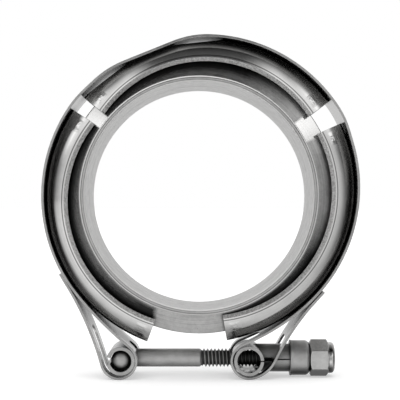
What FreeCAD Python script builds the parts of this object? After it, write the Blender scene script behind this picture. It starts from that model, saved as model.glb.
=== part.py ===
"""V-band clamp with its pair of weld flanges, standing on its two strap loops, nut backed off.

Millimetres.  Origin: centre of the bore in the mating plane of the flanges.  +Y runs along the
bore, +X towards the nut, +Z up.  An angle in the XZ plane is measured from +X towards +Z.
"""
import FreeCAD, Part
import os
from math import acos, atan2, cos, degrees, hypot, pi, radians, sin, sqrt, tan

V = FreeCAD.Vector

# Weld flanges: a 76.2 mm bore, a short stub and a coned rim
BORE_R = 38.1
STUB_WALL = 1.9
FLANGE_LENGTH = 15.8         # mating face to stub end
RIM_HEIGHT = 7.4             # radial height of the rim above the stub
RIM_HALF = 4.3               # axial thickness of one flange at its rim
CONE_ANGLE = 20.0            # cone face and retainer legs, from the radial plane
STUB_FILLET = 1.6
STUB_CHAMFER = 0.45
BORE_CHAMFER = 0.5
JOINT_CHAMFER = 0.15
RIM_ROUND = 0.4
MATING_GAP = 0.1             # between the two flange faces

# V retainers: three lengths of rolled channel.  Their tips keep the closed clamp's radius while
# their backs have sprung to a larger one, so each is lowest at its middle.
SHEET_T = 1.3
TIP_REACH = 5.4              # how far the tips reach below the rim with the clamp closed
SPRUNG = 3.6                 # what the back's radius has gained
RIM_CLEARANCE = 1.1          # rim to channel floor with the clamp closed
LEG_CLEARANCE = 1.15         # rim corner to leg with the clamp closed
CORNER_R = 3.0               # outside bend radius
LEG_BOW = 8.0                # degrees by which a leg is flatter at its tip, and steeper at its back
BOW_SHARE = 0.55             # middle of the bow, as a share of the leg with the clamp closed
TIP_BEVEL = 1.25             # radial depth of the sheared edge
RETAINER_GAP = 8.8           # degrees between neighbours with the clamp closed
TRIM = 4.0                   # degrees rolled over length at each end, then trimmed square
# Each retainer: how far it has moved outwards and in which direction, the angle of its middle,
# how far its back has risen there, and how far the back sits off the middle
TOP_MOVED = 4.54
TOP_MOVED_ANGLE = 60.6
TOP_ANGLE = 89.2
TOP_RISE = 0.2
TOP_ASIDE = 0.0
LEFT_MOVED = 3.48
LEFT_MOVED_ANGLE = 214.7
LEFT_ANGLE = 197.3
LEFT_RISE = -0.35
LEFT_ASIDE = -0.7
RIGHT_MOVED = 3.54
RIGHT_MOVED_ANGLE = 16.6
RIGHT_ANGLE = -27.6
RIGHT_RISE = 0.2
RIGHT_ASIDE = 0.2
DENT_DEPTH = 1.9             # flat pressed into the back of the top retainer
DENT_ANGLE = 111.9
DENT_LANDING = 0.62          # share of the flat that the strap lies on
DENT_EASING = 1.5            # depth of the two lesser flats that ease its ends

# Strap
STRAP_W = 19.05
STRAP_T = 0.8
LAP_GAP_LEFT = 0.04          # between the folded end and the strap under it
LAP_GAP_RIGHT = 0.35
WELD_R = 1.3
WELD_DEPTH = 0.3             # from either face
WELD_PITCH = 9.0             # across the strap, between the two spot welds of a lap
# The strap leaves a retainer this many degrees short of its end, clears the end by this much and
# comes down at the start of the next one
LIFT_RIGHT = 8.0
GAP_LIFT_RIGHT = 0.35
LIFT_TOP = 8.0
GAP_LIFT_TOP = 0.5
DENT_RUN_IN = 8.0            # degrees beside the flat

# Strap loops, around the T-bolt bush on the left and the trunnion sleeve on the right
LOOP_IN_R = 5.56
LOOP_BELOW_RIM = 8.8         # loop axis below the rim of the flanges
LOOP_LEFT_X = -27.2
LOOP_RIGHT_X = 17.05
LEAVE_LEFT = 220.5           # where the inner run leaves its retainer, degrees
LEAVE_RIGHT = -47.9
FOLD_LEFT = 212.1            # where the outer run meets the strap again
FOLD_RIGHT = -43.4
FOLD_LAP = 3.2               # degrees of lap beyond that
SWEEP_R = 11.0               # the right loop opens out to this radius
SWEEP_ANGLE = -80.0          # from this angle on

# Slots punched through the loops: width and the ends on the inner and the outer run, from the
# loop's axis
SLOT_CORNER_R = 2.5
SLOT_LEFT_W = 7.4
SLOT_LEFT_IN_X = 4.2
SLOT_LEFT_IN_Z = 5.2
SLOT_LEFT_OUT_X = -10.0
SLOT_LEFT_OUT_Z = 11.5
SLOT_RIGHT_W = 10.3
SLOT_RIGHT_IN_X = 4.95
SLOT_RIGHT_IN_Z = 8.6
SLOT_RIGHT_OUT_X = 12.35
SLOT_RIGHT_OUT_Z = 8.0

# T-bolt: 1/4 in shank, coarse thread
SHANK_R = 3.13
THREAD_ROOT_R = 2.45
THREAD_START_X = 0.3
THREAD_RUNOUT = 0.8
BOLT_END_X = 46.3
BOLT_CHAMFER = 0.6
HEAD_R = 3.45
HEAD_INSET = 0.8             # end of the head inside the edge of the strap
HEAD_DOME_R = 3.9

# Split bush round the T-bolt head
BUSH_IN_R = 3.65
BUSH_R = 4.9
BUSH_INSET = 0.13            # ends of bush and sleeve inside the edge of the strap
BUSH_GAP_FROM = 163.0        # degrees
BUSH_GAP_TO = 194.0
BUSH_PLAY = 0.05             # bush to the loop it is pulled against
HOLE_CLEARANCE = 0.45        # holes that the bolt passes, over the shank

# Trunnion: split sleeve in the right loop, saddle tube, cup, nut
SLEEVE_R = 5.1
SLEEVE_IN_R = 3.95
SLEEVE_SLIT = 0.3
SADDLE_R = 4.83
SADDLE_WALL = 1.1
SADDLE_SEAT_GAP = 0.05       # saddle to sleeve
SADDLE_LIP = 0.35            # saddle stays this far beyond the sleeve axis
SADDLE_SEAM = 0.4
SEAM_NOTCH_H = 1.3
SEAM_NOTCH_END_X = 25.4
CUP_START_X = 31.4
CUP_END_X = 38.3
CUP_R = 6.0
CUP_WALL = 0.9
CUP_SHOULDER_R = 1.7
CUP_LIP_R = 0.25             # how far the lipped edge stands out
CUP_LIP_W = 0.9
NUT_AF = 11.11
NUT_GAP = 0.05               # nut to cup
NUT_HEX_L = 6.3
NUT_L = 8.5
NUT_TURN = 28.4              # degrees about the bolt
NUT_BORE_R = 3.25
NUT_CHAMFER_ANGLE = 30.0
COLLAR_R = 5.35
COLLAR_MOUTH_R = 4.0
COLLAR_ROUND = 1.2
COLLAR_WALL = 0.8
INSERT_W = 1.7
INSERT_BORE_R = 3.22

# Derived sizes
STUB_R = BORE_R + STUB_WALL
RIM_R = STUB_R + RIM_HEIGHT
TIP_R = RIM_R - TIP_REACH
CLOSED_R = RIM_R + RIM_CLEARANCE + SHEET_T
BACK_R = CLOSED_R + SPRUNG
RETAINER_SPAN = 120.0 - RETAINER_GAP
RETAINERS = {
    "retainer_top": (TOP_MOVED, TOP_MOVED_ANGLE, TOP_ANGLE, TOP_RISE, TOP_ASIDE),
    "retainer_left": (LEFT_MOVED, LEFT_MOVED_ANGLE, LEFT_ANGLE, LEFT_RISE, LEFT_ASIDE),
    "retainer_right": (RIGHT_MOVED, RIGHT_MOVED_ANGLE, RIGHT_ANGLE, RIGHT_RISE, RIGHT_ASIDE),
}
SLOPE = tan(radians(CONE_ANGLE))
BOW_AT_R = TIP_R + BOW_SHARE * (CLOSED_R - TIP_R)
BOW_R = (CLOSED_R - TIP_R) / (4 * sin(radians(LEG_BOW)))
RIM_GAP_HALF = RIM_HALF + LEG_CLEARANCE
LEG_WIDTH = SHEET_T / cos(radians(CONE_ANGLE))
DENT_HALF = degrees(acos(1.0 - DENT_DEPTH / BACK_R))
HALF_SPAN = RETAINER_SPAN / 2.0
LOOP_R = LOOP_IN_R + STRAP_T
LOOP_Z = -(RIM_R + LOOP_BELOW_RIM)
LOOP_LEFT = V(LOOP_LEFT_X, 0, LOOP_Z)
LOOP_RIGHT = V(LOOP_RIGHT_X, 0, LOOP_Z)
HEAD_HALF = STRAP_W / 2.0 - HEAD_INSET
BUSH_LENGTH = STRAP_W - 2 * BUSH_INSET
HEAD_AXIS = LOOP_LEFT + V(LOOP_IN_R - BUSH_R - BUSH_PLAY, 0, 0)
HOLE_R = SHANK_R + HOLE_CLEARANCE
FOLD_LEFT_R = BACK_R + 2 * STRAP_T + LAP_GAP_LEFT
FOLD_RIGHT_R = BACK_R + 2 * STRAP_T + LAP_GAP_RIGHT
NUT_START_X = CUP_END_X + NUT_GAP


def polar(centre, radius, angle):
    """The point of the XZ plane at this radius and angle, in degrees, about a centre."""
    return centre + V(cos(radians(angle)), 0, sin(radians(angle))) * radius


def tip_centre(name):
    """Centre of the circle through one retainer's tips."""
    shift, direction = RETAINERS[name][:2]
    return polar(V(), shift, direction)


def back_centre(name):
    """Centre of one retainer's back."""
    middle, rise, aside = RETAINERS[name][2:]
    inwards = rise - SPRUNG
    return polar(tip_centre(name), inwards, middle) + heading(middle) * aside


def heading(angle):
    """Direction of travel round a centre, at this angle, with the angle growing."""
    return polar(V(), 1.0, angle + 90.0)


def rounded(corners):
    """Closed wire through (point, radius) corners, each rounded to its radius."""
    edges = []
    joints = []
    count = len(corners)
    for i, (corner, radius) in enumerate(corners):
        back = (corners[i - 1][0] - corner).normalize()
        ahead = (corners[(i + 1) % count][0] - corner).normalize()
        if radius == 0:
            joints.append((corner, None, corner))
            continue
        half = back.getAngle(ahead) / 2.0
        reach = radius / tan(half)
        middle = corner + (back + ahead).normalize() * (radius / sin(half) - radius)
        joints.append((corner + back * reach, middle, corner + ahead * reach))
    for i, (start, middle, end) in enumerate(joints):
        if middle:
            edges.append(Part.Arc(start, middle, end).toShape())
        following = joints[(i + 1) % count][0]
        if (following - end).Length > 1e-6:
            edges.append(Part.LineSegment(end, following).toShape())
    return Part.Wire(edges)


def turned(corners, centre, axis, angle=360.0):
    """Solid swept by a closed outline about an axis."""
    return Part.Face(rounded(corners)).revolve(centre, axis, angle)


def rod(radius, start, end):
    """Plain cylinder between two points."""
    return Part.makeCylinder(radius, (end - start).Length, start, end - start)


def centred_box(width, depth, height, centre):
    """Box along the axes about its centre."""
    return Part.makeBox(width, depth, height, centre - V(width, depth, height) / 2.0)


# ---------------------------------------------------------------- flanges

def flange(side):
    """One weld flange; side -1 is the front one, +1 the rear one."""
    face = MATING_GAP / 2.0
    cone_foot = RIM_HALF + RIM_HEIGHT * SLOPE
    outline = [
        (BORE_R, face + JOINT_CHAMFER, 0),
        (BORE_R + JOINT_CHAMFER, face, 0),
        (RIM_R, face, 0),
        (RIM_R, RIM_HALF, RIM_ROUND),
        (STUB_R, cone_foot, STUB_FILLET),
        (STUB_R, FLANGE_LENGTH - STUB_CHAMFER, 0),
        (STUB_R - STUB_CHAMFER, FLANGE_LENGTH, 0),
        (BORE_R + BORE_CHAMFER, FLANGE_LENGTH, 0),
        (BORE_R, FLANGE_LENGTH - BORE_CHAMFER, 0),
    ]
    corners = [(V(r, side * y, 0), rounding) for r, y, rounding in outline]
    return turned(corners, V(), V(0, 1, 0))


# ---------------------------------------------------------------- retainers

def leg_half(radius):
    """Half width inside the channel at a radius, between the straight ends of the bowed leg."""
    lean = CONE_ANGLE - LEG_BOW if radius < BOW_AT_R else CONE_ANGLE + LEG_BOW
    half = RIM_GAP_HALF + (RIM_R - BOW_AT_R) * SLOPE
    return half + (BOW_AT_R - radius) * tan(radians(lean))


def wedge(half, name):
    """Ring segment of symmetric section, given as (radius, y, rounding), over one retainer's span."""
    centre = tip_centre(name)
    outline = half + [(r, -y, rounding) for r, y, rounding in reversed(half)]
    corners = [(centre + V(r, y, 0), rounding) for r, y, rounding in outline]
    swept = turned(corners, centre, V(0, -1, 0), RETAINER_SPAN + 2 * TRIM)
    swept.rotate(centre, V(0, -1, 0), RETAINERS[name][2] - HALF_SPAN - TRIM)
    return swept


def backed(body, name, radius, rounding):
    """Wedge closed by the back at a radius, with the two long bends rounded."""
    centre = back_centre(name)
    drum = Part.makeCylinder(radius, 2 * STRAP_W, centre - V(0, STRAP_W, 0), V(0, 1, 0))
    drum.rotate(centre, V(0, -1, 0), RETAINERS[name][2] + 90.0)
    body = body.common(drum)
    bends = []
    for edge in body.Edges:
        middle = edge.valueAt((edge.FirstParameter + edge.LastParameter) / 2.0)
        reach = V(middle.x, 0, middle.z) - centre
        if edge.Length > BACK_R and abs(reach.Length - radius) < SHEET_T / 2.0:
            bends.append(edge)
    return body.makeFillet(rounding, bends)


def dented(body, radius):
    """Body of the top retainer with the flat and its two easings cut from its back."""
    flats = [
        (DENT_ANGLE, DENT_DEPTH),
        (DENT_ANGLE - DENT_HALF, DENT_EASING),
        (DENT_ANGLE + DENT_HALF, DENT_EASING),
    ]
    for angle, depth in flats:
        block = Part.makeBox(BACK_R, 2 * STRAP_W, 2 * BACK_R)
        block.translate(V(radius - depth, -STRAP_W, -BACK_R))
        block.rotate(V(), V(0, -1, 0), angle)
        block.translate(back_centre("retainer_top"))
        body = body.cut(block)
    return body


def retainer(name):
    """One V retainer; the top one has a flat pressed into its back."""
    far = BACK_R + SHEET_T
    bevel_r = TIP_R + TIP_BEVEL
    inner = [
        (TIP_R, leg_half(TIP_R), 0),
        (BOW_AT_R, leg_half(BOW_AT_R), BOW_R),
        (far, leg_half(far), 0),
    ]
    outer = [
        (TIP_R, leg_half(TIP_R), 0),
        (bevel_r, leg_half(bevel_r) + LEG_WIDTH, 0),
        (BOW_AT_R, leg_half(BOW_AT_R) + LEG_WIDTH, BOW_R),
        (far, leg_half(far) + LEG_WIDTH, 0),
    ]
    outside = backed(wedge(outer, name), name, BACK_R, CORNER_R)
    inside = backed(wedge(inner, name), name, BACK_R - SHEET_T, CORNER_R - SHEET_T)
    if name == "retainer_top":
        outside = dented(outside, BACK_R)
        inside = dented(inside, BACK_R - SHEET_T)
    return outside.cut(inside).common(between_ends(name))


def between_ends(name):
    """Sector between the two trimmed ends of a retainer."""
    centre = back_centre(name) - V(0, STRAP_W, 0)
    angles = (retainer_end(name, -1), RETAINERS[name][2], retainer_end(name, 1))
    corners = [centre] + [polar(centre, 2 * BACK_R, angle) for angle in angles]
    return Part.Face(Part.makePolygon(corners + corners[:1])).extrude(V(0, 2 * STRAP_W, 0))


def retainer_end(name, side):
    """Angle about the back's centre of one end of a retainer; side -1 or +1."""
    angle = RETAINERS[name][2] + side * HALF_SPAN
    end = polar(tip_centre(name), (TIP_R + BACK_R) / 2.0, angle)
    return near(angle_between(back_centre(name), end), angle)


# ---------------------------------------------------------------- strap

class Run:
    """Stretches of the strap end to end, each kept as its left and right edge along the way."""

    def __init__(self):
        self.left = []
        self.right = []

    def arc(self, centre, radius, start, end, centre_is_left):
        """Arc whose left edge has this radius, from one angle to another in degrees."""
        right = radius + STRAP_T if centre_is_left else radius - STRAP_T
        middle = (start + end) / 2.0
        for edges, r in ((self.left, radius), (self.right, right)):
            ends = [polar(centre, r, a) for a in (start, middle, end)]
            edges.append(Part.Arc(*ends))

    def line(self, start, end):
        """Straight run whose left edge joins two points."""
        aside = side_of(end - start)
        self.left.append(Part.LineSegment(start, end))
        self.right.append(Part.LineSegment(start + aside, end + aside))

    def curve(self, points, first, last):
        """Smooth run whose left edge passes the points, with its end directions given."""
        spline = Part.BSplineCurve()
        spline.interpolate(Points=points, InitialTangent=first, FinalTangent=last)
        low = spline.FirstParameter
        high = spline.LastParameter
        steps = 12
        shifted = []
        for i in range(steps + 1):
            u = low + (high - low) * i / steps
            shifted.append(spline.value(u) + side_of(V(*spline.tangent(u)[0])))
        other = Part.BSplineCurve()
        other.interpolate(Points=shifted, InitialTangent=first, FinalTangent=last)
        self.left.append(spline)
        self.right.append(other)

    def face(self):
        """Face between the two edges."""
        left = [curve.toShape() for curve in self.left]
        right = [curve.toShape() for curve in self.right]
        start = Part.LineSegment(self.right[0].StartPoint, self.left[0].StartPoint)
        end = Part.LineSegment(self.left[-1].EndPoint, self.right[-1].EndPoint)
        return Part.Face(Part.Wire(left + [end.toShape()] + right[::-1] + [start.toShape()]))


def side_of(direction):
    """From the left edge of the strap to its right edge, for a direction of travel."""
    return V(direction.z, 0, -direction.x).normalize() * STRAP_T


def angle_between(centre, point):
    """Direction of a point seen from a centre, in degrees."""
    return degrees(atan2(point.z - centre.z, point.x - centre.x))


def near(angle, reference):
    """The same angle, written within half a turn of another."""
    return angle - 360.0 * round((angle - reference) / 360.0)


def bridging_radius(ring, ring_r, loop, loop_r, leave, same_side):
    """Radius of the arc that leaves a ring at an angle and touches a loop.

    same_side: the arc curves round the ring's centre, or else round a point outside the ring.
    """
    out = polar(V(), 1.0, leave)
    gap = loop - ring
    along = gap.dot(out)
    if same_side:
        reach = ring_r + loop_r
        return ring_r + (gap.dot(gap) - reach ** 2) / (2.0 * (reach - along))
    top = 2.0 * ring_r * along - ring_r ** 2 + loop_r ** 2 - gap.dot(gap)
    return top / (2.0 * (ring_r - loop_r - along))


def strap_run():
    """The whole strap, from the folded end on the right round to the one on the left."""
    run = Run()
    right = back_centre("retainer_right")
    top = back_centre("retainer_top")
    left = back_centre("retainer_left")

    # right outer run: lap, sweep away from the retainer, opened-out part of the loop
    sweep = LOOP_RIGHT + polar(V(), LOOP_R - SWEEP_R, SWEEP_ANGLE)
    radius = bridging_radius(right, FOLD_RIGHT_R, sweep, SWEEP_R, FOLD_RIGHT, False)
    pivot = polar(right, FOLD_RIGHT_R + radius, FOLD_RIGHT)
    touch = near(angle_between(pivot, sweep), FOLD_RIGHT + 180.0)
    run.arc(right, FOLD_RIGHT_R, FOLD_RIGHT + FOLD_LAP, FOLD_RIGHT, False)
    run.arc(pivot, radius, FOLD_RIGHT + 180.0, touch, True)
    run.arc(sweep, SWEEP_R, touch - 180.0, SWEEP_ANGLE, False)

    # right loop and inner run
    radius = bridging_radius(right, BACK_R, LOOP_RIGHT, LOOP_R, LEAVE_RIGHT, True)
    pivot = polar(right, BACK_R - radius, LEAVE_RIGHT)
    touch = near(angle_between(pivot, LOOP_RIGHT), LEAVE_RIGHT)
    run.arc(LOOP_RIGHT, LOOP_R, SWEEP_ANGLE, touch - 180.0, False)
    run.arc(pivot, radius, touch, LEAVE_RIGHT, True)

    # over the three retainers
    end = retainer_end("retainer_right", 1)
    lift = end - LIFT_RIGHT
    land = retainer_end("retainer_top", -1)
    run.arc(right, BACK_R, LEAVE_RIGHT, lift, True)
    points = [
        polar(right, BACK_R, lift),
        polar(right, BACK_R + GAP_LIFT_RIGHT, end),
        polar(top, BACK_R, land),
    ]
    run.curve(points, heading(lift), heading(land))
    flat = polar(top, BACK_R - DENT_DEPTH, DENT_ANGLE)
    way = heading(DENT_ANGLE) * (BACK_R * sin(radians(DENT_HALF)) * DENT_LANDING)
    dip = DENT_ANGLE - DENT_HALF - DENT_RUN_IN
    rise = DENT_ANGLE + DENT_HALF + DENT_RUN_IN
    run.arc(top, BACK_R, land, dip, True)
    run.curve([polar(top, BACK_R, dip), flat - way], heading(dip), heading(DENT_ANGLE))
    run.line(flat - way, flat + way)
    run.curve([flat + way, polar(top, BACK_R, rise)], heading(DENT_ANGLE), heading(rise))
    end = retainer_end("retainer_top", 1)
    lift = end - LIFT_TOP
    land = retainer_end("retainer_left", -1)
    run.arc(top, BACK_R, rise, lift, True)
    points = [
        polar(top, BACK_R, lift),
        polar(top, BACK_R + GAP_LIFT_TOP, end),
        polar(left, BACK_R, land),
    ]
    run.curve(points, heading(lift), heading(land))
    run.arc(left, BACK_R, land, LEAVE_LEFT, True)

    # left inner run and loop
    radius = bridging_radius(left, BACK_R, LOOP_LEFT, LOOP_R, LEAVE_LEFT, True)
    pivot = polar(left, BACK_R - radius, LEAVE_LEFT)
    touch = near(angle_between(pivot, LOOP_LEFT), LEAVE_LEFT)
    run.arc(pivot, radius, LEAVE_LEFT, touch, True)

    # left outer run back up to its lap
    radius = bridging_radius(left, FOLD_LEFT_R, LOOP_LEFT, LOOP_R, FOLD_LEFT, False)
    pivot = polar(left, FOLD_LEFT_R + radius, FOLD_LEFT)
    turn = near(angle_between(pivot, LOOP_LEFT), FOLD_LEFT - 180.0)
    run.arc(LOOP_LEFT, LOOP_R, touch - 180.0, turn - 180.0, False)
    run.arc(pivot, radius, turn, FOLD_LEFT - 180.0, True)
    run.arc(left, FOLD_LEFT_R, FOLD_LEFT, FOLD_LEFT - FOLD_LAP, False)
    return run


def slot_cutter(loop, width, inner, outer):
    """Tool for one slot: all of a loop below the line through the slot's two ends."""
    inner = inner + loop
    outer = outer + loop
    way = (outer - inner).normalize() * (2 * LOOP_R)
    below = V(way.z, 0, -way.x)
    if below.z > 0:
        below = -below
    aside = V(0, width / 2.0, 0)
    start = inner - way
    corners = [
        (start - aside, SLOT_CORNER_R),
        (start + aside, SLOT_CORNER_R),
        (start + aside + below * 2, 0),
        (start - aside + below * 2, 0),
    ]
    return Part.Face(rounded(corners)).extrude(outer + way - start)


def spot_welds(name, angle, fold_r):
    """Two nuggets that join a folded end to the strap under it."""
    centre = back_centre(name)
    low = BACK_R + WELD_DEPTH
    high = fold_r - WELD_DEPTH
    nuggets = []
    for side in (-1, 1):
        aside = V(0, side * WELD_PITCH / 2.0, 0)
        start = polar(centre, low, angle) + aside
        nuggets.append(rod(WELD_R, start, polar(centre, high, angle) + aside))
    return nuggets


def band_strap():
    """The strap with its two slotted loops, both ends folded back and spot welded."""
    strap = strap_run().face().extrude(V(0, STRAP_W, 0))
    strap.translate(V(0, -STRAP_W / 2.0, 0))
    welds = spot_welds("retainer_left", FOLD_LEFT - FOLD_LAP / 2.0, FOLD_LEFT_R)
    welds += spot_welds("retainer_right", FOLD_RIGHT + FOLD_LAP / 2.0, FOLD_RIGHT_R)
    strap = strap.fuse(welds)
    inner = V(SLOT_LEFT_IN_X, 0, SLOT_LEFT_IN_Z)
    outer = V(SLOT_LEFT_OUT_X, 0, SLOT_LEFT_OUT_Z)
    strap = strap.cut(slot_cutter(LOOP_LEFT, SLOT_LEFT_W, inner, outer))
    inner = V(SLOT_RIGHT_IN_X, 0, SLOT_RIGHT_IN_Z)
    outer = V(SLOT_RIGHT_OUT_X, 0, SLOT_RIGHT_OUT_Z)
    return strap.cut(slot_cutter(LOOP_RIGHT, SLOT_RIGHT_W, inner, outer))


# ---------------------------------------------------------------- T-bolt and bush

def t_bolt():
    """Bolt with a domed cross head; the thread is left as its root cylinder."""
    axis_z = HEAD_AXIS.z
    shank = [
        (HEAD_AXIS.x, 0),
        (HEAD_AXIS.x, SHANK_R),
        (THREAD_START_X, SHANK_R),
        (THREAD_START_X + THREAD_RUNOUT, THREAD_ROOT_R),
        (BOLT_END_X - BOLT_CHAMFER, THREAD_ROOT_R),
        (BOLT_END_X, THREAD_ROOT_R - BOLT_CHAMFER),
        (BOLT_END_X, 0),
    ]
    corners = [(V(x, 0, axis_z + r), 0) for x, r in shank]
    stem = turned(corners, V(0, 0, axis_z), V(1, 0, 0))
    half = V(0, HEAD_HALF, 0)
    head = rod(HEAD_R, HEAD_AXIS - half, HEAD_AXIS + half)
    for side in (-1, 1):
        centre = HEAD_AXIS + V(0, side * (HEAD_HALF - HEAD_DOME_R), 0)
        dome = Part.makeSphere(HEAD_DOME_R, centre)
        block = centred_box(4 * HEAD_R, 2 * HEAD_R, 4 * HEAD_R, centre + V(0, side * HEAD_R, 0))
        head = head.cut(block.cut(dome))
    return stem.fuse(head).removeSplitter()


def split_tube(axis, outer, inner, length):
    """Tube along Y about an axis, with the bolt's hole right through it."""
    half = V(0, length / 2.0, 0)
    tube = rod(outer, axis - half, axis + half)
    return tube.cut(rod(inner, axis - half, axis + half))


def t_bolt_bush():
    """Split bush that the bolt head turns in, open away from the shank."""
    bush = split_tube(HEAD_AXIS, BUSH_R, BUSH_IN_R, BUSH_LENGTH)
    bush = bush.cut(rod(HOLE_R, HEAD_AXIS, HEAD_AXIS + V(2 * BUSH_R, 0, 0)))
    reach = 2 * BUSH_R
    corners = [HEAD_AXIS]
    for angle in (BUSH_GAP_FROM, BUSH_GAP_TO):
        corners.append(polar(HEAD_AXIS, reach, angle))
    corners = [point - V(0, BUSH_LENGTH, 0) for point in corners]
    opening = Part.Face(Part.makePolygon(corners + corners[:1]))
    return bush.cut(opening.extrude(V(0, 2 * BUSH_LENGTH, 0)))


# ---------------------------------------------------------------- trunnion

def trunnion_sleeve():
    """Rolled sleeve in the right loop, slit on the saddle's side, with the bolt across it."""
    sleeve = split_tube(LOOP_RIGHT, SLEEVE_R, SLEEVE_IN_R, BUSH_LENGTH)
    across = V(2 * SLEEVE_R, 0, 0)
    sleeve = sleeve.cut(rod(HOLE_R, LOOP_RIGHT - across, LOOP_RIGHT + across))
    slit = centred_box(2 * SLEEVE_R, 2 * BUSH_LENGTH, SLEEVE_SLIT, LOOP_RIGHT + V(SLEEVE_R, 0, 0))
    return sleeve.cut(slit)


def trunnion_saddle():
    """Rolled tube with an open seam; its near end is coped to sit on the sleeve."""
    start = LOOP_RIGHT + V(SADDLE_LIP, 0, 0)
    end = V(CUP_END_X - CUP_WALL, 0, LOOP_Z)
    tube = rod(SADDLE_R, start, end)
    tube = tube.cut(rod(SADDLE_R - SADDLE_WALL, start, end))
    half = V(0, BUSH_LENGTH, 0)
    seat_r = SLEEVE_R + SADDLE_SEAT_GAP
    tube = tube.cut(rod(seat_r, LOOP_RIGHT - half, LOOP_RIGHT + half))
    front = V((start.x + end.x) / 2.0, -SADDLE_R, LOOP_Z)
    seam = centred_box(end.x, 2 * (SADDLE_R - SADDLE_WALL / 2.0), SADDLE_SEAM, front)
    notch_length = SEAM_NOTCH_END_X - start.x
    notch_centre = V(start.x + notch_length / 2.0, -SADDLE_R, LOOP_Z)
    notch = centred_box(notch_length, SADDLE_R, SEAM_NOTCH_H, notch_centre)
    return tube.cut(seam).cut(notch)


def saddle_cup():
    """Drawn cup over the end of the saddle, lipped where it opens; the nut bears on it."""
    inner = SADDLE_R + SADDLE_SEAT_GAP
    outline = [
        (CUP_START_X, inner, 0),
        (CUP_START_X, CUP_R + CUP_LIP_R, CUP_LIP_R),
        (CUP_START_X + CUP_LIP_W, CUP_R, 0),
        (CUP_END_X, CUP_R, CUP_SHOULDER_R),
        (CUP_END_X, HOLE_R, 0),
        (CUP_END_X - CUP_WALL, HOLE_R, 0),
        (CUP_END_X - CUP_WALL, inner, 0),
    ]
    corners = [(V(x, 0, LOOP_Z + r), f) for x, r, f in outline]
    return turned(corners, V(0, 0, LOOP_Z), V(1, 0, 0))


def lock_nut():
    """Hexagon lock nut with its thin collar; the insert sits inside the collar."""
    corner_r = NUT_AF / 2.0 / cos(pi / 6)
    hex_end = NUT_START_X + NUT_HEX_L
    end = NUT_START_X + NUT_L
    points = []
    for i in range(7):
        turn = radians(NUT_TURN + 60.0 * i)
        points.append(V(NUT_START_X, -corner_r * cos(turn), LOOP_Z + corner_r * sin(turn)))
    prism = Part.Face(Part.makePolygon(points)).extrude(V(NUT_HEX_L, 0, 0))
    drop = (corner_r - NUT_AF / 2.0) * tan(radians(NUT_CHAMFER_ANGLE))
    limits = [
        (NUT_START_X, 0),
        (NUT_START_X, NUT_AF / 2.0),
        (NUT_START_X + drop, corner_r),
        (hex_end - drop, corner_r),
        (hex_end, NUT_AF / 2.0),
        (hex_end, 0),
    ]
    limiter = turned([(V(x, 0, LOOP_Z + r), 0) for x, r in limits], V(0, 0, LOOP_Z), V(1, 0, 0))
    body = prism.common(limiter)
    outline = [
        (hex_end - drop, 0, 0),
        (hex_end - drop, COLLAR_R, 0),
        (end, COLLAR_R, COLLAR_ROUND),
        (end, 0, 0),
    ]
    corners = [(V(x, 0, LOOP_Z + r), f) for x, r, f in outline]
    body = body.fuse(turned(corners, V(0, 0, LOOP_Z), V(1, 0, 0)))
    start = V(NUT_START_X, 0, LOOP_Z)
    body = body.cut(rod(NUT_BORE_R, start, start + V(NUT_L, 0, 0)))
    pocket_end = V(end - COLLAR_WALL, 0, LOOP_Z)
    pocket = rod(COLLAR_R - COLLAR_WALL, pocket_end - V(INSERT_W, 0, 0), pocket_end)
    mouth = rod(COLLAR_MOUTH_R, pocket_end, V(end, 0, LOOP_Z))
    return body.cut(pocket).cut(mouth).removeSplitter()


def nut_insert():
    """Locking ring held in the nut's collar."""
    end = V(NUT_START_X + NUT_L - COLLAR_WALL, 0, LOOP_Z)
    start = end - V(INSERT_W, 0, 0)
    ring = rod(COLLAR_R - COLLAR_WALL, start, end)
    return ring.cut(rod(INSERT_BORE_R, start, end))


def main():
    """Build every piece and write it under its own name."""
    pieces = {name: retainer(name) for name in RETAINERS}
    pieces["flange_front"] = flange(-1)
    pieces["flange_rear"] = flange(1)
    pieces["band_strap"] = band_strap()
    pieces["t_bolt"] = t_bolt()
    pieces["t_bolt_bush"] = t_bolt_bush()
    pieces["trunnion_sleeve"] = trunnion_sleeve()
    pieces["trunnion_saddle"] = trunnion_saddle()
    pieces["saddle_cup"] = saddle_cup()
    pieces["lock_nut"] = lock_nut()
    pieces["nut_insert"] = nut_insert()
    os.makedirs("parts", exist_ok=True)
    for name, shape in pieces.items():
        solid = shape.Solids[0] if len(shape.Solids) == 1 else shape
        print(name, "solids", len(shape.Solids), "valid", shape.isValid(), "mm3", round(shape.Volume, 1))
        solid.exportStep("parts/" + name + ".step")


main()
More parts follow.
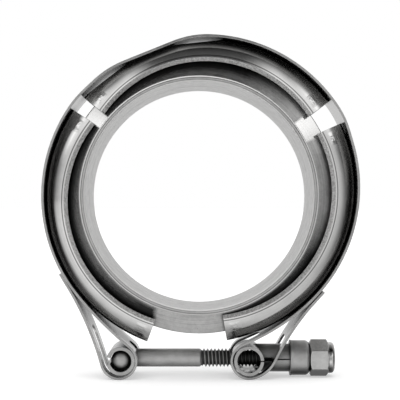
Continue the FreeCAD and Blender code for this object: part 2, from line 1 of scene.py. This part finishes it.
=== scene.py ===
"""Looks of the V-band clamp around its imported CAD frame.  Metres, +Z up, bore along +Y."""
import bpy, math
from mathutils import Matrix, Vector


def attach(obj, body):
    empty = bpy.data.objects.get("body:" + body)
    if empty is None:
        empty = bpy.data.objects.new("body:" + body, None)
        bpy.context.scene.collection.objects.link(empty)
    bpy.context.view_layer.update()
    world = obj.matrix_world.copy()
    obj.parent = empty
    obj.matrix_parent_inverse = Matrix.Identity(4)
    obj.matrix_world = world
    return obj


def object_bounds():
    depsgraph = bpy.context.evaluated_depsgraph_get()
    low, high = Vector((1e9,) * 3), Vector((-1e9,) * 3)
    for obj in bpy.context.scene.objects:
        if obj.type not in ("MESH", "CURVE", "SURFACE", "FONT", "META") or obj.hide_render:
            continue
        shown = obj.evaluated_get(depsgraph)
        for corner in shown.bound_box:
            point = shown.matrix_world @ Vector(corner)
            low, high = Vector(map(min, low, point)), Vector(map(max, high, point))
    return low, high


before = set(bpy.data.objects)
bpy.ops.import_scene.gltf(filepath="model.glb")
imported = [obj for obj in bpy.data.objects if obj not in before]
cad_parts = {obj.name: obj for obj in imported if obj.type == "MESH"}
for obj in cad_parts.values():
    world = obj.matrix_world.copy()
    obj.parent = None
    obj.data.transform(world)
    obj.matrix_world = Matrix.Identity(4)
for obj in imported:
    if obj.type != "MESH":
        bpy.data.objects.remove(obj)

cad_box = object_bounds()
MM = 0.001
BOLT_Z = -56.2               # mm, height of the bolt's axis


def mm(*values):
    """Lengths in millimetres, as metres."""
    return [value * MM for value in values]


# ---------------------------------------------------------------- node trees

class Graph:
    """A node tree, with short calls that add nodes to it."""

    def __init__(self, tree):
        self.tree = tree

    def feed(self, socket, value):
        if isinstance(value, bpy.types.NodeSocket):
            self.tree.links.new(value, socket)
        else:
            socket.default_value = value

    def node(self, kind, links=(), **settings):
        made = self.tree.nodes.new(kind)
        for key, value in settings.items():
            setattr(made, key, value)
        for socket, value in dict(links).items():
            self.feed(made.inputs[socket], value)
        return made

    def math(self, operation, *values):
        made = self.node("ShaderNodeMath", operation=operation)
        for i, value in enumerate(values):
            self.feed(made.inputs[i], value)
        return made.outputs[0]

    def product(self, first, *others):
        for other in others:
            first = self.math("MULTIPLY", first, other)
        return first

    def apart(self, first, second):
        """How far two numbers are from each other."""
        return self.math("ABSOLUTE", self.math("SUBTRACT", first, second))

    def length(self, first, second):
        """Length of a vector from its two parts."""
        return self.math("SQRT", self.math("ADD", self.product(first, first), self.product(second, second)))

    def parts(self, vector):
        return self.node("ShaderNodeSeparateXYZ", {0: vector}).outputs

    def by_angle(self, angle, stops):
        """Brightness by an angle in radians, through (degrees, brightness) stops."""
        made = self.node("ShaderNodeValToRGB", {0: self.math("DIVIDE", angle, math.pi)})
        elements = made.color_ramp.elements
        elements.remove(elements[1])
        elements[0].position = stops[0][0] / 180.0
        elements[0].color = (stops[0][1],) * 3 + (1.0,)
        for degrees, brightness in stops[1:]:
            elements.new(degrees / 180.0).color = (brightness,) * 3 + (1.0,)
        return made.outputs[0]


class Surface(Graph):
    """A material's node tree, round its main shader."""

    def __init__(self, name):
        self.material = bpy.data.materials.new(name)
        self.material.use_nodes = True
        super().__init__(self.material.node_tree)
        self.bsdf = self.tree.nodes["Principled BSDF"]

    def look(self, **inputs):
        """Sets inputs of the main shader, named with _ for each space."""
        for name, value in inputs.items():
            self.feed(self.bsdf.inputs[name.replace("_", " ")], value)
        return self.material

    def place(self):
        return self.node("ShaderNodeTexCoord").outputs["Object"]

    def ring_place(self, across, along):
        """Coordinates for lines that run round the Y axis."""
        x, y, z = self.parts(self.place())
        radius = self.product(self.length(x, z), across)
        angle = self.product(self.math("ARCTAN2", z, x), along)
        return self.node("ShaderNodeCombineXYZ", {0: radius, 1: self.product(y, across), 2: angle}).outputs[0]

    def noise(self, vector, scale, detail=3.0, roughness=0.5):
        links = {"Vector": vector, "Scale": scale, "Detail": detail, "Roughness": roughness}
        return self.node("ShaderNodeTexNoise", links).outputs["Fac"]

    def span(self, value, low, high, to_low=0.0, to_high=1.0):
        """A value from low to high, as one from to_low to to_high."""
        return self.node("ShaderNodeMapRange", {0: value, 1: low, 2: high, 3: to_low, 4: to_high}).outputs[0]

    def band(self, value, start, full, end, gone):
        """Rises from start to full and falls again from end to gone."""
        return self.product(self.span(value, start, full), self.span(value, end, gone, 1.0, 0.0))

    def blend(self, factor, first, second):
        """First colour towards the second one by a factor."""
        made = self.node("ShaderNodeMix", data_type="RGBA")
        self.feed(made.inputs["Factor"], factor)
        for socket, colour in ((6, first), (7, second)):
            self.feed(made.inputs[socket], (*colour, 1.0) if isinstance(colour, tuple) else colour)
        return made.outputs[2]

    def openness(self, reach, samples=12):
        """How openly a point faces its surroundings, from 0 to 1."""
        made = self.node("ShaderNodeAmbientOcclusion", {"Distance": reach * MM}, samples=samples)
        return made.outputs["AO"]


# ---------------------------------------------------------------- metals

def grey(value):
    """Slightly warm grey."""
    return (value, value * 0.995, value * 0.985)


# Near black for painted shade and painted dark reflections: inside the retainers' channels, along their bends
# and in thin lines on the flanges' end faces
PAINTED_SHADE = grey(0.04)
BUMP_DEPTH = 0.00002


def finish_metal(g, colour, roughness, height, bump, rounding=0.12, metallic=1.0):
    """Metal look with bump, and edges that catch the light as if rounded."""
    edge = g.node("ShaderNodeBevel", {"Radius": rounding * MM}, samples=6).outputs[0]
    links = {"Height": height, "Strength": bump, "Distance": BUMP_DEPTH, "Normal": edge}
    lifted = g.node("ShaderNodeBump", links).outputs[0]
    return g.look(Base_Color=colour, Roughness=roughness, Normal=lifted, Metallic=metallic)


def mottled(g, low, high, share):
    """Lines round the bore, their mix with blotches, and a grey that follows the mix."""
    lines = g.noise(g.ring_place(1500.0, 1.5), 1.0, 4.0, 0.6)
    blotch = g.noise(g.place(), 220.0, 5.0, 0.6)
    mixed = g.math("ADD", g.product(lines, share), g.product(blotch, 1.0 - share))
    return lines, mixed, g.blend(g.span(mixed, 0.3, 0.7), grey(low), grey(high))


def steel(name, greys, rough, bump, rounding=0.12, metallic=1.0, corner_shade=0.96, recess_shade=None):
    """Metal with lines that run round the bore, mottled roughness and painted shade that darkens its corners
    and recesses.
    """
    g = Surface(name)
    lines, mixed, colour = mottled(g, *greys, 0.3)
    # painted shade: near black where the ambient occlusion finds corners and recesses
    colour = g.blend(g.span(g.openness(6.0), 0.30, 0.72, corner_shade, 0.0), colour, grey(0.02))
    # painted shade in the part's recesses, such as the bolt's thread roots
    if recess_shade:
        colour = g.blend(recess_shade(g), colour, grey(0.03))
    height = g.math("ADD", lines, g.product(g.noise(g.place(), 900.0, 2.0), 0.4))
    return finish_metal(g, colour, g.span(mixed, 0.3, 0.7, *rough), height, bump, rounding, metallic)


def thread_roots(g):
    """Where the bolt's thread roots are painted dark, as shade between the threads."""
    x, y, z = g.parts(g.place())
    radius = g.length(y, g.math("SUBTRACT", z, BOLT_Z * MM))
    return g.product(g.span(radius, *mm(2.50, 3.08), 0.92, 0.0), g.span(x, *mm(-3.0, -1.0)))


# ---------------------------------------------------------------- retainers

SHEARED = mm(43.22, 43.30)                   # radius where the torn tip ends
TIP_SHADE_LINE = mm(43.62, 43.80, 44.05, 44.22)        # radii of the painted dark line of shade beside the tip
CHANNEL_WIDTH = 22.90 * MM                   # half the channel's width, drawn on to the bore's axis
CHANNEL_SLOPE = 0.3755                       # and how it narrows with the radius
BEND = mm(49.9, 51.3, 51.7, 52.4)            # radii of the bend, from the back's own centre
FLAT_BEND = mm(49.9, 51.3, 52.4, 53.0)
BOTTOM = -90.0                               # degrees; the painted shade along the retainers' bends fades towards it
PRESSED_AT = (0.845, 0.875, 0.915, 0.945)    # radians from the retainer's middle
PRESSED_R = mm(44.8, 45.7, 46.8, 47.8)


def retainer_steel(name, centre, back, middle, flat=None):
    """Rolled channel: bright outside; painted shade inside and along the bend; torn sheared tips with a
    painted highlight and a painted dark line beside them; pressed near its ends.
    """
    g = Surface(name)
    x, y, z = g.parts(g.place())
    dx, dz, bx, bz = (g.math("SUBTRACT", value, middle_of * MM)
                      for value, middle_of in ((x, centre[0]), (z, centre[1]), (x, back[0]), (z, back[1])))
    radius = g.length(dx, dz)
    c, s = math.cos(math.radians(middle)), math.sin(math.radians(middle))
    along = g.math("ADD", g.product(dx, c), g.product(dz, s))
    aside = g.math("SUBTRACT", g.product(dz, c), g.product(dx, s))
    off_middle = g.math("ABSOLUTE", g.math("ARCTAN2", aside, along))
    lines, mixed, colour = mottled(g, 0.66, 0.78, 0.4)
    # sheared tip: short grains along the edge, painted up to white as a highlight, then a painted dark line
    # of shade beside it
    grain = g.noise(g.ring_place(1400.0, 70.0), 1.0, 3.0, 0.7)
    torn_grain_highlight = g.blend(g.span(grain, 0.35, 0.65), grey(0.55), grey(1.0))
    edge = g.span(radius, *SHEARED, 1.0, 0.0)
    colour = g.blend(edge, colour, torn_grain_highlight)
    colour = g.blend(g.product(g.band(radius, *TIP_SHADE_LINE), 0.75), colour, grey(0.06))
    # inside of the channel: painted shade, near black where the channel hides it
    inner_side = g.math("SUBTRACT", CHANNEL_WIDTH, g.product(radius, CHANNEL_SLOPE))
    inside = g.span(g.math("SUBTRACT", g.math("ABSOLUTE", y), inner_side), *mm(0.1, 0.6), 1.0, 0.0)
    colour = g.blend(g.product(inside, g.span(radius, *mm(42.6, 43.2))), colour, PAINTED_SHADE)
    # painted shade along the bend and on the flat, under the strap; it fades towards the bottom and towards
    # the retainers' ends
    bend = g.band(g.length(bx, bz), *(FLAT_BEND if flat else BEND))
    if flat:
        tilt, start = math.radians(flat[0]), flat[1]
        rise = g.math("ADD", g.product(bx, math.cos(tilt)), g.product(bz, math.sin(tilt)))
        bend = g.math("MAXIMUM", bend, g.span(rise, *mm(start, start + 1.2)))
    turned = g.math("SUBTRACT", g.math("ARCTAN2", z, x), math.radians(BOTTOM))
    turned = g.math("ABSOLUTE", g.math("WRAP", turned, math.pi, -math.pi))
    shade_fade_below = g.span(turned, 0.61, 1.08, 0.15, 1.0)
    bend = g.product(bend, shade_fade_below, g.span(off_middle, 0.60, 0.95, 0.95, 0.12))
    colour = g.blend(g.product(bend, g.span(lines, 0.2, 0.6, 0.92, 1.0)), colour, PAINTED_SHADE)
    # press marks in the middle of each leg, close to the ends
    pressed = g.product(g.band(off_middle, *PRESSED_AT), g.band(radius, *PRESSED_R),
                        g.noise(g.place(), 620.0, 2.0))
    roughness = g.math("ADD", g.span(mixed, 0.3, 0.7, 0.08, 0.15), g.product(edge, 0.4))
    height = g.math("ADD", g.product(lines, 0.5), g.product(grain, edge, 3.0))
    height = g.math("ADD", height, g.product(pressed, 24.0))
    return finish_metal(g, colour, roughness, height, 0.3, metallic=g.span(edge, 0.0, 1.0, 1.0, 0.25))


# ---------------------------------------------------------------- flanges

# Degrees round the bore, where the retainers leave the flanges uncovered
NARROW_GAP = 142.5
WIDE_GAP = 31.8
OPEN_GAP = -94.7
BRIGHT_SIDE = 20.05          # degrees, where most light reaches into the groove
STUB_R = mm(40.4, 41.4)      # radii over which the stub passes into the groove
END_FACE = mm(15.70, 15.76)  # distance of the end face from the mating plane
CHAMFERS = mm(15.28, 15.36)
THIN_LINES = ((38.62, 38.76, 0.6), (39.32, 39.50, 0.8))      # mm from, to, darkness of painted dark reflections beside the chamfers
LINE_BLUR = 0.04


def cover(g, radius):
    """Painted shade in the groove under the retainers, and painted light where their gaps let light in."""
    px, py, pz = g.parts(g.node("ShaderNodeNewGeometry").outputs["Position"])
    around = g.math("ARCTAN2", pz, px)
    from_narrow, from_wide, from_open, from_bright = (
        g.apart(around, math.radians(angle)) for angle in (NARROW_GAP, WIDE_GAP, OPEN_GAP, BRIGHT_SIDE))
    enough = g.span(radius, *mm(41.2, 44.8), 0.80, 0.98)
    enough = g.math("ADD", enough, g.span(from_bright, 0.45, 0.85, 0.0, 0.05))
    shade_under_retainers = g.span(g.math("SUBTRACT", g.openness(7.0, 16), enough), -0.13, -0.03, 1.0, 0.0)
    beside_open = g.product(g.band(from_open, 0.290, 0.300, 0.40, 0.75),
                            g.span(radius, *mm(41.0, 42.2)), 0.95)
    shade_under_retainers = g.math("MAXIMUM", shade_under_retainers, beside_open)
    from_top = g.apart(around, math.radians(90.0))
    stub_edge = g.math("ADD", radius, g.span(from_top, 0.3, 0.9, 0.0006, 0.0))
    shade_under_retainers = g.product(shade_under_retainers, g.span(stub_edge, *STUB_R), g.span(from_narrow, 0.046, 0.060),
                        g.span(from_bright, 0.45, 0.85, 0.45, 0.98), g.span(from_wide, 0.12, 0.30, 0.1, 1.0),
                        g.span(from_open, 0.255, 0.29, 0.15, 1.0))
    light_in_gaps = g.math("MAXIMUM", g.span(from_narrow, 0.050, 0.064, 1.0, 0.0),
                 g.span(from_wide, 0.085, 0.105, 1.0, 0.0))
    return shade_under_retainers, g.product(light_in_gaps, g.span(radius, *mm(40.4, 40.8)))


def flange_steel(name):
    """Turned flange: fine rings, chamfers at the bore's mouth painted bright as highlights, painted shade
    where the retainers cover it and painted light in their gaps, small pits.
    """
    g = Surface(name)
    x, y, z = g.parts(g.place())
    radius = g.length(x, z)
    width = g.math("ABSOLUTE", y)
    rings = g.noise(g.ring_place(2600.0, 1.0), 1.0, 4.0, 0.6)
    streaks = g.noise(g.ring_place(600.0, 4.0), 1.0, 4.0, 0.6)
    blotch = g.noise(g.place(), 420.0, 5.0, 0.65)
    mixed = g.math("ADD", g.product(streaks, 0.25), g.product(blotch, 0.4))
    mixed = g.math("ADD", g.product(rings, 0.35), mixed)
    colour = g.blend(g.span(mixed, 0.37, 0.63), grey(0.54), grey(0.90))
    shade_under_retainers, light_in_gaps = cover(g, radius)
    # painted shade under the retainers
    colour = g.blend(shade_under_retainers, colour, grey(0.01))
    # painted light on the flange in the retainers' gaps
    colour = g.blend(g.product(light_in_gaps, 0.9), colour, grey(0.88))
    # chamfers at the mouth and the rim, painted bright as highlights
    chamfers = g.math("ADD", g.span(radius, *mm(38.58, 38.64), 1.0, 0.0), g.span(radius, *mm(39.52, 39.58)))
    chamfer_highlight = g.product(chamfers, g.span(width, *CHAMFERS))
    colour = g.blend(chamfer_highlight, colour, grey(0.95))
    # thin painted dark reflections on the end face, beside the chamfers
    for low, high, darkness in THIN_LINES:
        line = g.band(radius, *mm(low - LINE_BLUR, low, high, high + LINE_BLUR))
        colour = g.blend(g.product(line, g.span(width, *END_FACE, 0.0, darkness)), colour, PAINTED_SHADE)
    colour = g.blend(g.span(width, *END_FACE, 0.0, 0.35), colour, grey(0.42))
    pits = g.span(g.noise(g.place(), 1500.0, 2.0), 0.73, 0.77)
    colour = g.blend(g.product(pits, 0.6), colour, grey(0.10))
    roughness = g.product(g.span(mixed, 0.3, 0.7, 0.34, 0.50), g.span(light_in_gaps, 0.0, 1.0, 1.0, 0.35))
    height = g.math("SUBTRACT", g.math("ADD", rings, g.product(blotch, 0.6)), pits)
    return finish_metal(g, colour, roughness, height, 0.45, 0.15, g.span(chamfer_highlight, 0.0, 1.0, 0.85, 0.2))


# ---------------------------------------------------------------- looks of the pieces

def plastic(name, low, high):
    """Cloudy plastic between two colours."""
    g = Surface(name)
    cloud = g.noise(g.place(), 900.0, 4.0)
    return g.look(Base_Color=g.blend(cloud, low, high), Roughness=g.span(cloud, 0.3, 0.7, 0.35, 0.55))


FLANGE = flange_steel("flange_steel")
FORMED = steel("formed_steel", (0.50, 0.68), (0.16, 0.30), 0.25, rounding=0.35)
BOLT = steel("bolt_steel", (0.52, 0.74), (0.42, 0.56), 0.40, metallic=0.7, recess_shade=thread_roots)
LOOKS = {
    "band_strap": steel("strap_steel", (0.52, 0.70), (0.16, 0.28), 0.25, rounding=0.25, corner_shade=0.82),
    # mm and degrees: centre of the tips, centre of the back, middle; the flat's direction and its start
    "retainer_top": retainer_steel("retainer_steel_top", (2.23, 3.95), (2.18, 0.55), 89.2, (111.9, 48.9)),
    "retainer_left": retainer_steel("retainer_steel_left", (-2.86, -1.98), (1.0, -0.22), 197.3),
    "retainer_right": retainer_steel("retainer_steel_right", (3.39, 1.01), (0.47, 2.76), -27.6),
    "flange_front": FLANGE,
    "flange_rear": FLANGE,
    "t_bolt": BOLT,
    "t_bolt_bush": FORMED,
    "trunnion_sleeve": FORMED,
    "trunnion_saddle": steel("saddle_steel", (0.36, 0.54), (0.26, 0.42), 0.30, metallic=0.55),
    "saddle_cup": steel("cup_steel", (0.46, 0.66), (0.32, 0.48), 0.30, rounding=0.9, metallic=0.7),
    "lock_nut": steel("nut_steel", (0.60, 0.82), (0.12, 0.24), 0.30, rounding=0.4),
    "nut_insert": plastic("nylon_ring", (0.70, 0.70, 0.68), (0.80, 0.80, 0.78)),
}

for name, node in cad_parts.items():
    node.data.materials.clear()
    node.data.materials.append(LOOKS[name])


# ---------------------------------------------------------------- bolt thread

PITCH = 1.27                 # mm, as all lengths of the thread
CREST_R = 3.175
ROOT_R = 2.40
THREAD_FROM = 0.5
THREAD_TO = 46.0
HALF_ROOT = 0.47
HALF_CREST = 0.08
RUN_IN = 0.8                 # turns over which the ridge rises at its start
RUN_OUT = 0.5
LOWEST = 0.02                # share of the ridge's height at its very ends
STEPS = 48                   # per turn


def thread():
    """Helical ridge over the bolt's root cylinder, faded in at both ends."""
    turns = (THREAD_TO - THREAD_FROM) / PITCH
    total = int(turns * STEPS)
    verts = []
    faces = []
    for i in range(total + 1):
        turn = i / STEPS
        angle = 2.0 * math.pi * turn
        rise = min(1.0, turn / RUN_IN, (turns - turn) / RUN_OUT)
        crest = ROOT_R + (CREST_R - ROOT_R) * max(LOWEST, rise)
        x = THREAD_FROM + PITCH * turn
        for dx, r in ((-HALF_ROOT, ROOT_R), (-HALF_CREST, crest), (HALF_CREST, crest), (HALF_ROOT, ROOT_R)):
            verts.append(mm(x + dx, -r * math.sin(angle), BOLT_Z + r * math.cos(angle)))
    for i in range(total):
        a = 4 * i
        for k in range(4):
            n = (k + 1) % 4
            faces.append((a + k, a + n, a + 4 + n, a + 4 + k))
    faces.append((3, 2, 1, 0))
    faces.append(tuple(4 * total + k for k in range(4)))
    mesh = bpy.data.meshes.new("bolt_thread")
    mesh.from_pydata(verts, [], faces)
    mesh.validate()
    made = bpy.data.objects.new("bolt_thread", mesh)
    bpy.context.scene.collection.objects.link(made)
    made.data.materials.append(BOLT)
    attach(made, "bolt")


thread()


# ---------------------------------------------------------------- floor

FLOOR_SIZE = 60.0            # metres, so that its far edge lies on the horizon
FLOOR_GLOW = 0.48


def floor_material():
    """Matt white that only keeps the shadow."""
    g = Surface("floor_white")
    seen_floor = g.node("ShaderNodeLightPath").outputs["Is Camera Ray"]
    return g.look(Base_Color=(0.8, 0.8, 0.8, 1.0), Roughness=1.0, Specular_IOR_Level=0.0,
                  Emission_Color=(1.0, 1.0, 1.0, 1.0), Emission_Strength=g.product(seen_floor, FLOOR_GLOW))


bpy.ops.mesh.primitive_plane_add(size=FLOOR_SIZE, location=(0.0, 0.0, cad_box[0][2]))
floor = bpy.context.object
floor.name = "floor"
floor.data.materials.append(floor_material())
floor.visible_glossy = False


# ---------------------------------------------------------------- studio

# Degrees off the camera's side, brightness; the bright backdrop takes over behind the object
AXIS_STOPS = [(0, 0.36), (12, 0.50), (22, 0.80), (32, 0.80), (42, 0.46), (50, 0.20), (58, 0.02), (76, 0.02),
              (90, 0.0), (180, 0.0)]
BACK_STOPS = [(0, 0.0), (76, 0.0), (90, 0.24), (112, 0.42), (140, 0.72), (180, 0.78)]
# Degrees from the middle of the dark top card, gain; the card fades out near the camera's side
TOP_CARD = 92.0
TOP_STOPS = [(0, 0.06), (21, 0.07), (33, 0.72), (50, 0.62), (64, 0.5), (125, 0.46), (155, 0.50), (180, 0.62)]
CARD_GAIN = 2.0
PLAIN_CARD = 1.0 / CARD_GAIN
CARD_FADE = [(0, 0.0), (3, 0.0), (8, 1.0), (180, 1.0)]
# Added patches: (degrees from the top card, share), (degrees off the camera's side, share), brightness
PATCHES = [
    ([(0, 0.0), (40, 0.0), (52, 1.0), (60, 1.0), (72, 0.0), (180, 0.0)],
     [(0, 0.0), (34, 0.0), (46, 1.0), (56, 0.3), (66, 0.0), (180, 0.0)], 1.1),
    ([(0, 0.0), (115, 0.0), (138, 1.0), (158, 1.0), (172, 0.6), (180, 0.6)],
     [(0, 0.0), (35, 0.0), (52, 1.0), (68, 1.0), (84, 0.0), (180, 0.0)], 0.50),
]


def studio():
    """Surroundings that the metal mirrors, behind a plain white background."""
    world = bpy.data.worlds.new("studio")
    bpy.context.scene.world = world
    world.use_nodes = True
    world.node_tree.nodes.clear()
    g = Graph(world.node_tree)
    x, y, z = g.parts(g.node("ShaderNodeTexCoord").outputs["Generated"])
    off_axis = g.math("ARCCOSINE", g.product(y, -1.0))
    from_top = g.apart(g.math("ARCTAN2", z, x), math.radians(TOP_CARD))
    card = g.math("SUBTRACT", g.by_angle(from_top, TOP_STOPS), PLAIN_CARD)
    card = g.math("ADD", g.product(card, g.by_angle(off_axis, CARD_FADE)), PLAIN_CARD)
    level = g.product(g.by_angle(off_axis, AXIS_STOPS), card, CARD_GAIN)
    level = g.math("ADD", level, g.by_angle(off_axis, BACK_STOPS))
    for around, outwards, gain in PATCHES:
        patch = g.product(g.by_angle(from_top, around), g.by_angle(off_axis, outwards), gain)
        level = g.math("ADD", level, patch)
    surround = g.node("ShaderNodeBackground", {"Color": level, "Strength": 1.0}).outputs[0]
    white = g.node("ShaderNodeBackground", {"Color": (1.0, 1.0, 1.0, 1.0), "Strength": 1.0}).outputs[0]
    seen = g.node("ShaderNodeLightPath").outputs["Is Camera Ray"]
    mixed = g.node("ShaderNodeMixShader", {0: seen, 1: surround, 2: white}).outputs[0]
    g.node("ShaderNodeOutputWorld", {"Surface": mixed})


studio()

sun_data = bpy.data.lights.new("overhead", "SUN")
sun_data.energy = 1.9
sun_data.angle = math.radians(70.0)
sun = bpy.data.objects.new("overhead", sun_data)
sun.rotation_euler = (math.radians(12.0), math.radians(-6.0), 0.0)
sun.visible_glossy = False
bpy.context.scene.collection.objects.link(sun)

camera_data = bpy.data.cameras.new("camera")
camera_data.sensor_width = 36.0
camera_data.lens = 97.03125
camera_data.shift_x = -0.00125
camera_data.shift_y = 0.01875
camera_data.clip_start = 0.01
camera = bpy.data.objects.new("camera", camera_data)
camera.location = mm(0.53, -375.0, -4.04)
camera.rotation_euler = (math.radians(90.0), 0.0, 0.0)
bpy.context.scene.collection.objects.link(camera)
bpy.context.scene.camera = camera
bpy.context.scene.view_settings.view_transform = "Standard"
